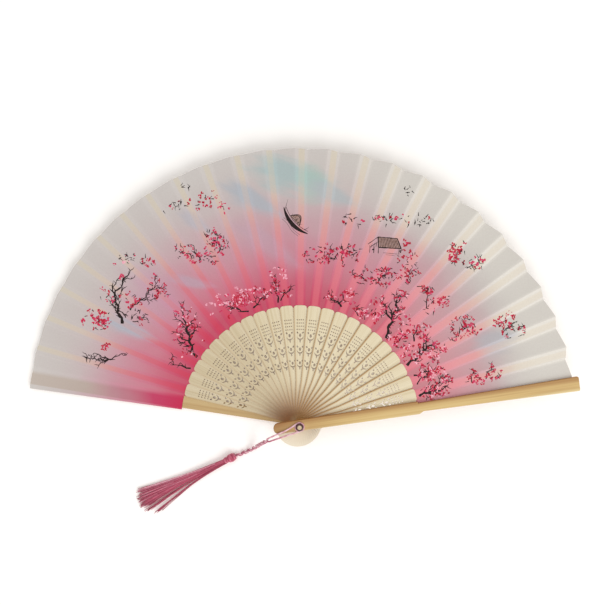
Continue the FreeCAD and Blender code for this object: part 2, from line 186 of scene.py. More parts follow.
def crumple(x, y):
    """A slight unevenness of the cloth, in millimetres."""
    return sum(height * noise.noise(Vector((x * waves, y * waves, place)))
               for height, waves, place in CRUMPLES)


def cloth_height(gap, part, radius):
    """Height of the cloth's face in a gap, part being the angle from the gap's first stick."""
    valley, mountain = folds(gap, radius)
    low, high = SEATS[gap - 1], SEATS[gap]
    lift, drop = mountain_lift(gap, radius), valley_drop(gap, radius)
    half = asin(flat_half(gap, radius) / radius)
    near_half = asin(slip_half(radius) / radius)
    if part <= half:
        return low + CLOTH_THICK
    if part <= valley:
        return low + CLOTH_THICK - drop * smooth((part - half) / (valley - half))
    if part >= PITCH - near_half and gap < LAST:
        return high + CLOTH_THICK
    if part >= mountain:
        near = (PITCH - near_half - part) / max(PITCH - near_half - mountain, 1e-6)
        return high + CLOTH_THICK + lift * min(max(near, 0.0), 1.0)
    share = (part - valley) / (mountain - valley)
    sag = 1.2
    climb = mix(low - drop, high + lift, share ** sag)
    angle = stick_angle(gap - 1) - part
    x, y = radius * cos(angle), radius * sin(angle)
    return climb + CLOTH_THICK + crumple(x, y) * sin(pi * share)


def edge_radius(gap, part):
    """The leaf's outer edge, which juts at each mountain and draws in at each valley."""
    valley, mountain = folds(gap, LEAF_OUTER)
    weakest, first_gap, over_gaps = 0.2, 11, 6
    strength = mix(weakest, 1.0, smooth((gap - first_gap) / over_gaps))
    jut, draw = 1.0 * strength, -1.5 * strength
    if part < valley:
        share = (part + PITCH - mountain) / (valley + PITCH - mountain)
        return LEAF_OUTER + mix(jut, draw, min(max(share, 0.0), 1.0))
    if part < mountain:
        return LEAF_OUTER + mix(draw, jut, (part - valley) / (mountain - valley))
    share = (part - mountain) / (valley + PITCH - mountain)
    return LEAF_OUTER + mix(jut, draw, share)


def inner_radius(gap, part):
    """The leaf's inner edge, which fills the notch between two ribs' rounded tops."""
    beside_guard = gap == 1 and part < PITCH / 2 or gap == LAST and part > PITCH / 2
    if beside_guard:
        return LEAF_INNER
    off_centre = min(part, PITCH - part) * RIB_TOP
    past = off_centre - (RIB_TOP_HALF - RIB_TOP_ROUND)
    if past <= 0:
        return LEAF_INNER
    tucked = 0.25
    drop = RIB_TOP_ROUND - sqrt(max(RIB_TOP_ROUND ** 2 - past ** 2, 0.0))
    return max(RIB_TOP - drop - tucked, RIB_TOP - RIB_TOP_ROUND - tucked)


def gap_columns(gap, radius):
    """Angles from a gap's first stick of the mesh's columns: close at the folds, even between them."""
    valley, mountain = folds(gap, radius)
    half = asin(flat_half(gap, radius) / radius)
    near_half = asin(slip_half(radius) / radius)
    soft = 0.25 / radius
    columns = [0.0, half * 0.5, half - soft, half + soft]
    columns += [mix(half + soft, valley - soft, 0.5), valley - soft, valley, valley + soft]
    steps = 9
    columns += [mix(valley + soft, mountain - soft, i / steps) for i in range(1, steps)]
    columns += [mountain - soft, mountain, mountain + soft]
    if gap < LAST:
        near = PITCH - near_half
        columns += [mix(mountain + soft, near - soft, 0.5), near - soft, near + soft]
        columns += [PITCH - near_half * 0.5, PITCH]
    else:
        short_of_guard = 0.6 / radius
        columns += [PITCH - short_of_guard]
    if gap == 1:
        far = at_radius(BACK_GUARD_EDGE, radius) / radius
        strip = DYED_STRIP_EDGE / radius
        columns = [-far, -strip - soft, -strip + soft, -far * 0.3] + columns
    return sorted(columns)


# -------- the print on the cloth
INK, RED, ROSE, BLUSH, GREY, WASH = range(1, 7)
PAINTS = 6
FLOWER_DENSITY = 1.45
TICK_DENSITY = 1.2
FORK_CHANCES = (0.8, 0.3)
THINNEST_LIMB = 0.42


def convex(outline):
    """Whether a counter-clockwise outline turns left at every corner."""
    corners = zip(outline, outline[1:] + outline[:1], outline[2:] + outline[:2])
    return all((bx - ax) * (cy - by) - (by - ay) * (cx - bx) > 0
               for (ax, ay), (bx, by), (cx, cy) in corners)


class Print:
    """Flat brush marks on the leaf, kept per gap as outlines in millimetres with a paint."""

    def __init__(self, seed):
        self.random = random.Random(seed)
        self.marks = {gap: [] for gap in range(1, LAST + 1)}

    def add(self, outline, paint):
        """Keep an outline, turned counter-clockwise, for each gap that it touches."""
        area = sum(a[0] * b[1] - b[0] * a[1] for a, b in zip(outline, outline[1:] + outline[:1]))
        if area < 0:
            outline = outline[::-1]
        turns = [BACK_ANGLE - atan2(y, x) for x, y in outline]
        radii = [hypot(x, y) for x, y in outline]
        if min(radii) < LEAF_INNER + 1 or max(radii) > LEAF_OUTER - 3:
            return
        clear_of_guard = 4.0
        if max(turns) > LAST * PITCH - clear_of_guard / max(radii) or min(turns) < 0:
            return
        if len(outline) == 4 and not convex(outline):
            self.add(outline[:3], paint)
            self.add(outline[2:] + outline[:1], paint)
            return
        first, last = (int(turn // PITCH) + 1 for turn in (min(turns), max(turns)))
        for gap in range(first, last + 1):
            self.marks[gap].append((outline, paint))

    def stroke(self, points, widths, paint=INK):
        """A brush stroke along points, with a width at each."""
        sides = []
        for i, (x, y) in enumerate(points):
            ax, ay = points[max(i - 1, 0)]
            bx, by = points[min(i + 1, len(points) - 1)]
            length = hypot(bx - ax, by - ay) or 1.0
            nx, ny = -(by - ay) / length, (bx - ax) / length
            half = widths[i] / 2
            sides.append(((x + nx * half, y + ny * half), (x - nx * half, y - ny * half)))
        for (a, b), (c, d) in zip(sides, sides[1:]):
            self.add([a, b, d, c], paint)

    def dab(self, x, y, size, paint):
        """One touch of the brush: a small uneven blot, longer than wide."""
        rnd = self.random
        lean, stretch, corners = rnd.uniform(0, pi), rnd.uniform(0.45, 0.75), 7
        at = placer(x, y, lean)
        outline = []
        for i in range(corners):
            angle = i * tau / corners
            reach = size / 2 * rnd.uniform(0.8, 1.12)
            outline.append(at(reach * cos(angle), reach * stretch * sin(angle)))
        self.add(outline, paint)

    def blossom(self, x, y, paints):
        """A few touches that read as one small flower."""
        rnd = self.random
        spread, own_colour = 1.1, 0.7
        paint = rnd.choice(paints)
        for _ in range(rnd.choice((2, 3, 4))):
            turn = rnd.uniform(0, tau)
            reach = spread * sqrt(rnd.random())
            colour = paint if rnd.random() < own_colour else rnd.choice(paints)
            self.dab(x + reach * cos(turn), y + reach * sin(turn),
                     rnd.uniform(0.9, 2.0), colour)

    def tick(self, x, y, heading, length, width, paint=INK):
        """A short tapering stroke with a slight bend."""
        bend, thin_end, steps = self.random.uniform(-0.6, 0.6), 0.3, 3
        points, widths = [], []
        for i in range(steps + 1):
            share = i / steps
            turn = heading + bend * share
            points.append((x + length * share * cos(turn), y + length * share * sin(turn)))
            widths.append(width * mix(1.0, thin_end, share))
        self.stroke(points, widths, paint)

    def limb(self, x, y, heading, length, width, level=0):
        """A knotty limb: straight runs with kinks, a fork or a twig at each, finer and finer."""
        rnd = self.random
        run_scale, steps, thin_end = (1.0 if level == 0 else 0.62), 3, 0.35
        points, widths, tips = [(x, y)], [width], []
        gone, side = 0.0, rnd.choice((-1, 1))
        while gone < length:
            run = min(rnd.uniform(3.2, 5.2) * run_scale, length - gone + 0.3)
            lean = side * rnd.uniform(0.15, 0.5)
            for i in range(steps):
                turn = heading + lean + rnd.gauss(0, 0.12)
                x += run / steps * cos(turn)
                y += run / steps * sin(turn)
                share = min((gone + run * (i + 1) / steps) / length, 1.0)
                points.append((x, y))
                taper = width * mix(1.0, thin_end, share)
                widths.append(max(taper * rnd.uniform(0.75, 1.3), THINNEST_LIMB))
            gone += run
            before_tip = min(gone / length, 1.0) < 0.95
            if level < len(FORK_CHANCES) and before_tip and rnd.random() < FORK_CHANCES[level]:
                fork = heading + lean - side * rnd.uniform(0.7, 1.2)
                reach = max(length * rnd.uniform(0.22, 0.4), 2.8)
                tips += self.limb(x, y, fork, reach, widths[-1] * 0.72, level + 1)
            self.tick(x, y, heading + rnd.choice((-1, 1)) * rnd.uniform(0.5, 1.2),
                      rnd.uniform(1.6, 3.4), max(widths[-1] * 0.75, 0.55))
            side = -side
        self.stroke(points, widths)
        tips.append((x, y))
        return tips

    def cluster(self, x, y, along, across, lean, flowers, ticks, paints):
        """Flowers and loose strokes of ink spread over an ellipse, denser at its middle."""
        rnd = self.random
        at = placer(x, y, lean)
        flowers, ticks = round(flowers * FLOWER_DENSITY), round(ticks * TICK_DENSITY)
        for i in range(flowers + ticks):
            turn, reach = rnd.uniform(0, tau), rnd.random() ** 0.6
            place = at(along * reach * cos(turn), across * reach * sin(turn))
            if i < flowers:
                self.blossom(*place, paints)
            else:
                self.tick(*place, rnd.uniform(0, tau), rnd.uniform(1.2, 3.2),
                          rnd.uniform(0.5, 0.85))

    def peony(self, x, y, size):
        """A large open flower: rings of short curved strokes, red and pale by turns."""
        rnd = self.random
        rings, flatness = 5, 0.85
        for ring in range(rings):
            reach = size * (ring + 0.6) / rings
            count = 4 + 3 * ring
            for i in range(count):
                turn = (i + rnd.uniform(-0.3, 0.3)) * tau / count
                px, py = x + reach * cos(turn), y + flatness * reach * sin(turn)
                colour = RED if (i + ring) % 2 else rnd.choice((BLUSH, ROSE, RED))
                self.tick(px, py, turn + pi / 2 + rnd.uniform(-0.5, 0.5), rnd.uniform(1.6, 2.8),
                          rnd.uniform(0.7, 1.1), colour)


def polar(direction, radius):
    """A place on the leaf by its direction in degrees and its distance from the pin."""
    angle = radians(direction)
    return radius * cos(angle), radius * sin(angle)


def placer(x, y, lean):
    """A function that finds places on the leaf along and across a leaning line through x, y."""
    def at(along, across):
        return (x + along * cos(lean) - across * sin(lean),
                y + along * sin(lean) + across * cos(lean))
    return at


REDS = (RED, RED, ROSE)
ROSES = (RED, ROSE, ROSE)
BRIGHT = (RED, RED, ROSE, BLUSH)
PALE = (BLUSH, BLUSH, ROSE)

# limbs: direction and distance of the foot, heading, length, width, flowers at the tips, paints
LIMBS = [
    (150.5, 140, 104, 30, 1.9, 4, ROSES), (145.6, 154, 52, 24, 1.3, 3, ROSES),
    (146, 140, 40, 26, 1.1, 6, REDS), (148.5, 140, 128, 10, 0.9, 0, ROSES),
    (147, 84, 106, 36, 2.1, 9, BRIGHT), (143, 95, 140, 11, 1, 2, BRIGHT),
    (153.2, 84, 162, 15, 1, 1, BRIGHT), (114, 85, 158, 15, 1.1, 4, BRIGHT),
    (111.5, 86, 52, 13, 1.1, 4, BRIGHT), (99.8, 85, 100, 19, 1.1, 6, BRIGHT),
    (98.5, 86, 42, 11, 0.9, 2, BRIGHT), (70.5, 86, 146, 11, 1.2, 2, BRIGHT),
    (72.5, 87, 62, 7, 0.9, 2, BRIGHT), (61.8, 85, 100, 7, 0.9, 2, BRIGHT),
    (45.3, 84, 74, 32, 2.2, 9, BRIGHT), (49, 96, 116, 15, 1.3, 3, BRIGHT),
    (41, 85, 50, 9, 1, 4, BRIGHT), (36.5, 97, 80, 9, 1, 3, BRIGHT),
    (29.5, 84, 34, 24, 2.2, 7, BRIGHT), (30.5, 96, 82, 10, 1.2, 4, BRIGHT),
    (24, 85, 22, 15, 1.2, 5, BRIGHT), (19.5, 85, 48, 12, 1, 4, BRIGHT),
    (14, 84, 14, 20, 1.7, 4, BRIGHT), (14.5, 94, 48, 14, 1, 4, BRIGHT),
    (14.2, 121, 84, 8, 0.8, 3, REDS), (14.2, 131, 62, 10, 0.8, 4, REDS),
    (121.5, 130, 112, 13, 0.8, 4, ROSES), (115, 130, 96, 14, 0.9, 6, ROSES),
    (80, 114, 66, 9, 0.7, 2, REDS), (75, 115, 84, 9, 0.7, 3, REDS),
    (66, 109, 148, 9, 0.8, 3, REDS), (61.5, 112, 46, 10, 0.8, 3, REDS),
    (55, 124, 34, 8, 0.7, 2, REDS), (43, 118, 82, 10, 0.9, 2, REDS),
    (50, 124, -38, 8, 0.6, 2, REDS), (47, 151, 66, 9, 0.7, 4, REDS),
    (43.5, 156, 22, 9, 0.7, 2, REDS), (29.5, 124, 64, 12, 0.8, 5, REDS),
    (24.8, 152, 44, 9, 0.6, 2, REDS),
]

# clusters: direction, distance, half length, half height, lean in degrees, flowers, ticks, paints
CLUSTERS = [
    (152, 154, 5.5, 6.5, 60, 22, 0, REDS), (152.5, 157, 12, 9, 20, 14, 8, ROSES),
    (146.1, 162, 5, 4, 0, 4, 2, ROSES), (143.5, 144, 8, 6, 0, 12, 4, REDS),
    (136, 133, 9, 7, 30, 8, 10, REDS), (133.1, 151, 5, 5, 0, 7, 4, REDS),
    (146.5, 133, 9, 5, -20, 2, 26, ROSES), (136.5, 164, 8, 4, 20, 4, 8, (BLUSH, ROSE, GREY)),
    (122.9, 142, 8, 7, 0, 10, 16, ROSES), (114.8, 137, 9, 10, 20, 17, 26, ROSES),
    (120, 131, 11, 4, 0, 6, 14, ROSES), (113.5, 167, 13, 6, 12, 12, 7, REDS),
    (108.6, 157, 5, 5, 0, 4, 2, ROSES), (120, 171, 9, 4, 30, 2, 9, ROSES),
    (140, 99, 11, 12, 40, 13, 4, BRIGHT), (147.5, 92, 8, 6, 0, 6, 3, BRIGHT),
    (135.7, 112, 7, 5, 0, 6, 3, BRIGHT), (114.4, 95, 13, 8, 20, 18, 2, PALE),
    (121, 92, 8, 5, 30, 6, 4, BRIGHT), (106.5, 94, 6, 5, 20, 8, 5, BRIGHT),
    (124.5, 100, 12, 5, 40, 9, 0, PALE), (101.5, 94, 6, 6, 0, 8, 4, BRIGHT),
    (98, 104, 6, 6, 0, 8, 2, PALE), (94.5, 91, 5, 4, 0, 3, 4, BRIGHT),
    (86.5, 116, 4, 6, 0, 4, 7, REDS), (81.2, 117, 7, 7, 0, 11, 16, REDS),
    (74.4, 121, 9, 8, 0, 14, 22, REDS), (75.5, 145, 8, 5, 0, 2, 9, ROSES),
    (67.6, 153, 9, 5, 0, 4, 16, ROSES), (60.2, 161, 12, 4, -8, 2, 16, ROSES),
    (66, 111, 8, 6, 0, 9, 14, REDS), (60.5, 117, 9, 7, 0, 14, 20, REDS),
    (54.2, 128, 8, 6, 30, 9, 12, REDS), (57.6, 135, 9, 6, 0, 8, 10, REDS),
    (59.9, 144, 2.5, 2.5, 0, 4, 0, REDS), (47.5, 128, 6, 4, -30, 7, 4, REDS),
    (41, 130, 5, 4, 0, 8, 2, REDS), (42.6, 121, 4, 6, 0, 3, 8, REDS),
    (68.9, 94, 6, 6, 0, 9, 3, BRIGHT), (76.2, 91, 5, 4, 0, 3, 4, BRIGHT),
    (61.4, 88, 7, 5, -20, 13, 5, BRIGHT), (53.6, 91, 6, 6, 0, 12, 3, BRIGHT),
    (58, 98, 7, 6, 0, 7, 3, BRIGHT), (46.6, 102, 7, 5, 0, 10, 4, BRIGHT),
    (52, 113, 4, 5, 0, 6, 3, BRIGHT), (41.2, 90, 8, 7, 0, 18, 6, BRIGHT),
    (38.2, 104, 8, 7, 0, 16, 5, BRIGHT), (33.6, 89, 7, 7, 0, 18, 4, BRIGHT),
    (27.5, 99, 9, 6, 0, 17, 3, BRIGHT), (29, 107, 7, 6, 0, 11, 4, BRIGHT),
    (22.6, 95, 8, 6, 0, 11, 5, BRIGHT), (20.2, 101, 6, 6, 0, 12, 3, BRIGHT),
    (16, 92, 9, 6, 0, 12, 8, BRIGHT), (12.6, 95, 10, 3, 10, 9, 6, BRIGHT),
    (17.5, 107, 5, 4, 0, 4, 3, BRIGHT), (48.2, 159, 9, 5, 55, 24, 6, REDS),
    (43.4, 161, 9, 4, 10, 8, 8, ROSES), (31.2, 132, 11, 7, 0, 24, 14, REDS),
    (30, 121, 5, 4, 0, 3, 4, REDS), (27.6, 157, 9, 5, 30, 15, 2, REDS),
    (24.4, 160, 11, 6, 0, 9, 18, REDS), (14.8, 125, 7, 5, 0, 13, 3, REDS),
    (15, 137, 7, 4, 0, 9, 4, REDS), (65, 176, 6, 3, 0, 0, 7, ROSES),
    (115.5, 180, 4, 1.5, 0, 0, 5, ROSES), (158.5, 143, 3.5, 3, 0, 7, 0, REDS),
    (162.5, 150, 5, 2, 10, 0, 6, ROSES),
]


def draw_boat(paper, x, y, lean):
    """A small plain punt with a hooped cover and a pole, on two lines of water."""
    at = placer(x, y, lean)
    shares = [i / 12 for i in range(13)]
    thin, hoop_width, water_width = 0.35, 0.45, 0.22
    hull = [at(mix(-12, 12, share), 3.4 * (2 * share - 1) ** 2 - 2.4) for share in shares]
    paper.stroke(hull, [mix(0.6, 2.8, sin(pi * share)) for share in shares])
    rim = [at(mix(-11, 11, share), 2.4 * (2 * share - 1) ** 2 - 0.2) for share in shares]
    paper.stroke(rim, [thin] * len(shares))

    def arch(foot, height):
        return [at(mix(-5.0, 4.4, share), foot + height * sin(pi * share))
                for share in shares]

    paper.add(arch(0.2, 5.4), WASH)
    for height in (5.2, 4.2):
        paper.stroke(arch(0.3, height), [hoop_width] * len(shares))
    slats = 9
    for i in range(slats):
        along = mix(-4.0, 3.4, i / (slats - 1))
        paper.tick(*at(along, 0.2), lean + 1.5, 3.6 - 0.25 * abs(i - 4), 0.42)
    paper.tick(*at(-9.5, -0.5), lean + 2.2, 8.5, 0.4)
    paper.tick(*at(8.5, 1.0), lean + 1.2, 3.8, 0.45)
    for height in (-3.8, -5.2):
        water = [at(mix(-7, 9, share), height + 0.5 * sin(7 * share)) for share in shares]
        paper.stroke(water, [water_width] * len(shares), GREY)


def draw_hut(paper, x, y, lean):
    """A small plain hut: a thatched roof drawn in hatching, on posts."""
    at = placer(x, y, lean)

    def line(start, end, width, count=6, paint=INK):
        points = [at(mix(start[0], end[0], i / count), mix(start[1], end[1], i / count))
                  for i in range(count + 1)]
        widths = [width * paper.random.uniform(0.7, 1.2) for _ in points]
        paper.stroke(points, widths, paint)

    paper.add([at(-7.0, 3.8), at(-6.2, -3.2), at(9.2, -3.0), at(6.0, 3.6)], WASH)
    line((-7.0, 3.8), (6.0, 3.6), 0.6, 10)
    line((-6.2, -3.2), (9.2, -3.0), 0.85, 10)
    line((-7.0, 3.8), (-6.2, -3.2), 0.75)
    line((6.0, 3.6), (9.2, -3.0), 0.6)
    line((-7.0, 3.8), (-13.5, -1.5), 0.5)
    line((-6.6, 0.6), (-12.0, -3.4), 0.35)
    hatches = 14
    for i in range(hatches):
        share = i / (hatches - 1)
        line((mix(-6.7, 5.9, share), 3.2), (mix(-6.0, 8.8, share), -2.8), 0.34, 3)
    for along in (-12.0, -9.2, -6.2, 7.8):
        line((along, -3.0), (along, -7.2), 0.45, 3)
    paper.dab(*at(-9.6, -4.8), 2.0, INK)
    for i in range(6):
        line((-12.4 + i * 1.1, -2.2 + 0.6 * i), (-11.8 + i * 1.1, -4.0 + 0.3 * i), 0.28, 2)
    line((-3.0, -6.6), (7.0, -6.8), 0.3, 6, GREY)
    line((-1.0, -7.8), (5.0, -8.0), 0.25, 5, GREY)


def paint_leaf():
    """The whole print: limbs with flowers at their tips, clusters of flowers, a boat and a hut."""
    seed, flower_scatter = 21, 1.2
    paper = Print(seed)
    rnd = paper.random
    for direction, distance, heading, length, width, flowers, paints in LIMBS:
        tips = paper.limb(*polar(direction, distance), radians(heading), length, width)
        for _ in range(flowers):
            x, y = rnd.choice(tips)
            paper.blossom(x + rnd.gauss(0, flower_scatter), y + rnd.gauss(0, flower_scatter), paints)
    for direction, distance, along, across, lean, flowers, ticks, paints in CLUSTERS:
        paper.cluster(*polar(direction, distance), along, across, radians(lean),
                      flowers, ticks, paints)
    paper.peony(*polar(114.4, 94.5), 6.0)
    draw_boat(paper, *polar(91.3, 139), radians(-48))
    draw_hut(paper, *polar(64.2, 138), radians(-4))
    sprig = polar(161.5, 139)
    for length, heading in ((17, 178), (11, 158), (9, 200), (12, 20)):
        paper.limb(*sprig, radians(heading), length, 1.0, 1)
    return paper.marks


# -------- mesh helpers
def in_scene(name, data):
    """A new object in the scene, made of its data."""
    obj = bpy.data.objects.new(name, data)
    bpy.context.scene.collection.objects.link(obj)
    return obj


def new_object(name, vertices, faces, materials, face_materials=None):
    """A smooth object from vertices in millimetres, faces and materials."""
    mesh = bpy.data.meshes.new(name)
    mesh.from_pydata([mm(v) for v in vertices], [], faces)
    for material in materials:
        mesh.materials.append(material)
    if face_materials:
        mesh.polygons.foreach_set("material_index", face_materials)
    mesh.polygons.foreach_set("use_smooth", [True] * len(mesh.polygons))
    mesh.update()
    return in_scene(name, mesh)


def tube(points, radius_at, sides, turns_per_mm=0.0, closed=False):
    """Vertices and faces of a tube. radius_at takes the share of its length and the angle."""
    count = len(points)
    travelled, vertices, faces = 0.0, [], []
    normal = Vector((0, 0, 1))
    for i, point in enumerate(points):
        before = points[i - 1] if i or closed else points[0]
        after = points[(i + 1) % count] if i + 1 < count or closed else points[-1]
        tangent = (after - before).normalized()
        normal = (normal - tangent * normal.dot(tangent)).normalized()
        side = tangent.cross(normal)
        if i:
            travelled += (point - points[i - 1]).length
        for j in range(sides):
            angle = j * tau / sides
            reach = radius_at(i / (count - 1), angle - travelled * turns_per_mm * tau)
            vertices.append(point + (normal * cos(angle) + side * sin(angle)) * reach)
    rings = count if closed else count - 1
    for i in range(rings):
        a, b = i * sides, ((i + 1) % count) * sides
        for j in range(sides):
            k = (j + 1) % sides
            faces.append((a + j, a + k, b + k, b + j))
    if not closed:
        faces.append(tuple(reversed(range(sides))))
        faces.append(tuple(range((count - 1) * sides, count * sides)))
    return vertices, faces


def merged(parts):
    """The vertices and the faces of several tubes as one."""
    vertices, faces = [], []
    for part_vertices, part_faces in parts:
        offset = len(vertices)
        vertices += part_vertices
        faces += [tuple(i + offset for i in face) for face in part_faces]
    return vertices, faces


def add_values(obj, name, values):
    """Give each of an object's vertices a number, for its material to read."""
    attribute = obj.data.attributes.new(name, "FLOAT", "POINT")
    attribute.data.foreach_set("value", values)


# -------- materials
def srgb(code):
    """A colour written as six hexadecimal digits, as linear red, green, blue and alpha."""
    parts = [int(code[i:i + 2], 16) / 255 for i in (0, 2, 4)]
    return tuple(p / 12.92 if p <= 0.04045 else ((p + 0.055) / 1.055) ** 2.4 for p in parts) + (1.0,)


def between(first, last, share):
    """A colour code part way from one code to another."""
    parts = [(int(first[i:i + 2], 16), int(last[i:i + 2], 16)) for i in (0, 2, 4)]
    return "".join(f"{round(mix(a, b, share)):02x}" for a, b in parts)


class Nodes:
    """A new material's node tree, with short calls for the nodes that the materials here share."""

    def __init__(self, name, roughness):
        self.material = bpy.data.materials.new(name)
        self.material.use_nodes = True
        self.tree = self.material.node_tree
        self.shader = self.tree.nodes["Principled BSDF"]
        self.shade({"Roughness": roughness})

    def feed(self, node, inputs):
        """Set a node's inputs, each to a plain value or from another node's output."""
        for key, value in inputs.items():
            if isinstance(value, bpy.types.NodeSocket):
                self.tree.links.new(value, node.inputs[key])
            else:
                node.inputs[key].default_value = value

    def shade(self, inputs):
        """Set the shader's inputs."""
        self.feed(self.shader, inputs)

    def node(self, kind, inputs=None, **settings):
        made = self.tree.nodes.new(kind)
        for key, value in settings.items():
            setattr(made, key, value)
        self.feed(made, inputs or {})
        return made

    def math(self, operation, *values):
        """A sum with one, two or three values."""
        return self.node("ShaderNodeMath", dict(enumerate(values)), operation=operation).outputs[0]

    def plus(self, a, b):
        return self.math("ADD", a, b)

    def minus(self, a, b):
        return self.math("SUBTRACT", a, b)

    def times(self, a, b):
        return self.math("MULTIPLY", a, b)

    def length(self, x, y):
        """How far x, y is from the origin."""
        return self.math("SQRT", self.plus(self.times(x, x), self.times(y, y)))

    def spread(self, value, low, high, to_low=0.0, to_high=1.0, kind="SMOOTHSTEP"):
        """A value brought from one range to another, eased at both ends unless kind is LINEAR."""
        ends = {"From Min": low, "From Max": high, "To Min": to_low, "To Max": to_high}
        made = self.node("ShaderNodeMapRange", {"Value": value, **ends}, interpolation_type=kind)
        return made.outputs["Result"]

    def ramp(self, value, stops):
        """A colour ramp through (place, colour code) stops."""
        made = self.node("ShaderNodeValToRGB", {"Fac": value})
        elements = made.color_ramp.elements
        while len(elements) < len(stops):
            elements.new(0.5)
        for element, (place, code) in zip(elements, stops):
            element.position = place
            element.color = srgb(code)
        return made.outputs["Color"]

    def blend(self, share, colour, over):
        """A colour under a share of another, which may be given as a code."""
        inputs = {"Factor": share, "A": colour, "B": srgb(over) if isinstance(over, str) else over}
        return self.node("ShaderNodeMix", inputs, data_type="RGBA").outputs["Result"]

    def noise(self, vector, scale, detail):
        inputs = {"Vector": vector, "Scale": scale, "Detail": detail, "Roughness": 0.55}
        return self.node("ShaderNodeTexNoise", inputs).outputs["Fac"]

    def mapped(self, vector, location=(0, 0, 0), rotation=(0, 0, 0), scale=(1, 1, 1)):
        inputs = {"Vector": vector, "Location": location, "Rotation": rotation, "Scale": scale}
        return self.node("ShaderNodeMapping", inputs).outputs["Vector"]

    def axes(self, vector):
        """A vector's x, y and z."""
        return list(self.node("ShaderNodeSeparateXYZ", {0: vector}).outputs)

    def place(self):
        """Where a point is on its object, in metres."""
        return self.node("ShaderNodeTexCoord").outputs["Object"]

    def uv(self):
        return self.node("ShaderNodeUVMap", uv_map="leaf").outputs["UV"]

    def attribute(self, name):
        return self.node("ShaderNodeAttribute", attribute_name=name).outputs["Fac"]

    def bump(self, height, strength, distance):
        inputs = {"Strength": strength, "Distance": distance, "Height": height}
        self.shade({"Normal": self.node("ShaderNodeBump", inputs).outputs["Normal"]})


def taper(start, start_half, end, end_half):
    """The slope of a rib's edge between two places on it, and its half width at the pin in metres."""
    slope = (end_half - start_half) / (end - start)
    return slope, (start_half - slope * start) * MM


def shaded_edge(n, x, y, edge_shadow):
    """How much painted shadow a rib gets beside its neighbour above: on its left past the pin, less on
    its tail.
    """
    tail_half = n.math("MULTIPLY_ADD", x, *taper(-RIB_TAIL, RIB_TAIL_HALF, RIB_WAIST, RIB_WAIST_HALF))
    blade_half = n.math("MULTIPLY_ADD", x, *taper(RIB_WAIST, RIB_WAIST_HALF, RIB_TOP, RIB_TOP_HALF))
    half = n.math("MAXIMUM", tail_half, blade_half)
    inset = n.minus(half, n.times(y, n.math("SIGN", x)))
    strength = n.spread(x, -0.006, 0.0, 0.1, edge_shadow)
    return n.times(strength, n.spread(inset, 0.0, 0.0012, 1.0, 0.0))


def bamboo(name, angle, tones, pivot_shade, guard_shading=0.0, edge_shadow=0.0):
    """Bamboo with its fibres along a stick that points along angle, with painted shade browning it near
    the pin.
    For a guard, painted shade on its counter-clockwise edge and its head and a painted highlight on its
    other edge; for a rib, painted shadow beside the rib above and painted light on its tail."""
    n = Nodes(name, 0.5)
    along = n.mapped(n.place(), rotation=(0, 0, -angle))
    x, y, _ = n.axes(along)
    fine = n.noise(n.mapped(along, scale=(14, 900, 300)), 1.0, 4.0)
    wide = n.noise(n.mapped(along, scale=(9, 160, 60)), 1.0, 2.0)
    plain, dark, pale = tones
    grain = n.math("MULTIPLY_ADD", fine, 0.55, n.times(wide, 0.45))
    colour = n.ramp(grain, [(0.30, dark), (0.52, plain), (0.75, pale)])
    # painted shade: browner towards the pin, where the overlapping sticks shade each other
    pivot_shading = n.times(n.spread(x, 0.001, 0.008), n.spread(x, 0.002, 0.034, pivot_shade, 0.0))
    colour = n.blend(pivot_shading, colour, "8c4a08")
    if edge_shadow:
        # painted light: a rib's tail past the pin is lightened against the shade that falls there
        colour = n.blend(n.spread(x, -0.006, 0.0, 0.7, 0.0), colour, "efe8d6")
        # painted shadow along the rib's edge beside the rib above
        colour = n.blend(shaded_edge(n, x, y, edge_shadow), colour, "a27430")
    # painted shade on a guard's counter-clockwise edge and its head, and a painted highlight on its
    # other edge
    if guard_shading:
        across = n.plus(y, n.times(wide, 0.002))
        colour = n.blend(n.spread(across, 0.0014, 0.0050, 0.0, guard_shading), colour, "9c6c34")
        colour = n.blend(n.spread(across, -0.0034, -0.0008, 0.8 * guard_shading, 0.0), colour, "e2d4a4")
        colour = n.blend(n.spread(x, -0.016, 0.004, 0.6, 0.0), colour, "8a5424")
    # the cut faces are browned: partly the bamboo's darker cut edge, partly painted shade inside the
    # pierced holes and along the edges
    _, _, up = n.axes(n.node("ShaderNodeNewGeometry").outputs["Normal"])
    cut_side_and_hole_shade = n.spread(n.math("ABSOLUTE", up), 0.2, 0.8, 0.75, 0.0)
    n.shade({
        "Base Color": n.blend(cut_side_and_hole_shade, colour, "a5672a"),
        "Roughness": n.spread(fine, 0.2, 0.8, 0.42, 0.6),
        "Coat Weight": 0.15,
        "Coat Roughness": 0.3,
    })
    n.bump(fine, 0.25, 0.0002)
    return n.material


# the leaf's UV square, in millimetres, with the pin at its middle
UV_SPAN = 400

# the dye by how far it has faded: on the open cloth, over a slip and over the back guard
FACE_DYE = [
    (0.00, "c03c5c"), (0.10, "c4546e"), (0.26, "c7778a"), (0.42, "c48f9c"),
    (0.56, "c3a3a9"), (0.70, "c3b4b4"), (0.84, "c5bdba"), (1.00, "cac5c1"),
]
SLIP_DYE = [
    (0.00, "c83450"), (0.14, "cc4a62"), (0.32, "d06e78"), (0.48, "d08c88"),
    (0.62, "cfa99e"), (0.76, "cebbaa"), (0.90, "cdc2ae"), (1.00, "cdc4b1"),
]
GUARD_DYE = [
    (0.00, "bf1f4c"), (0.20, "bd3a60"), (0.40, "b5808a"), (0.62, "b5a59c"), (1.00, "bdb2a8"),
]

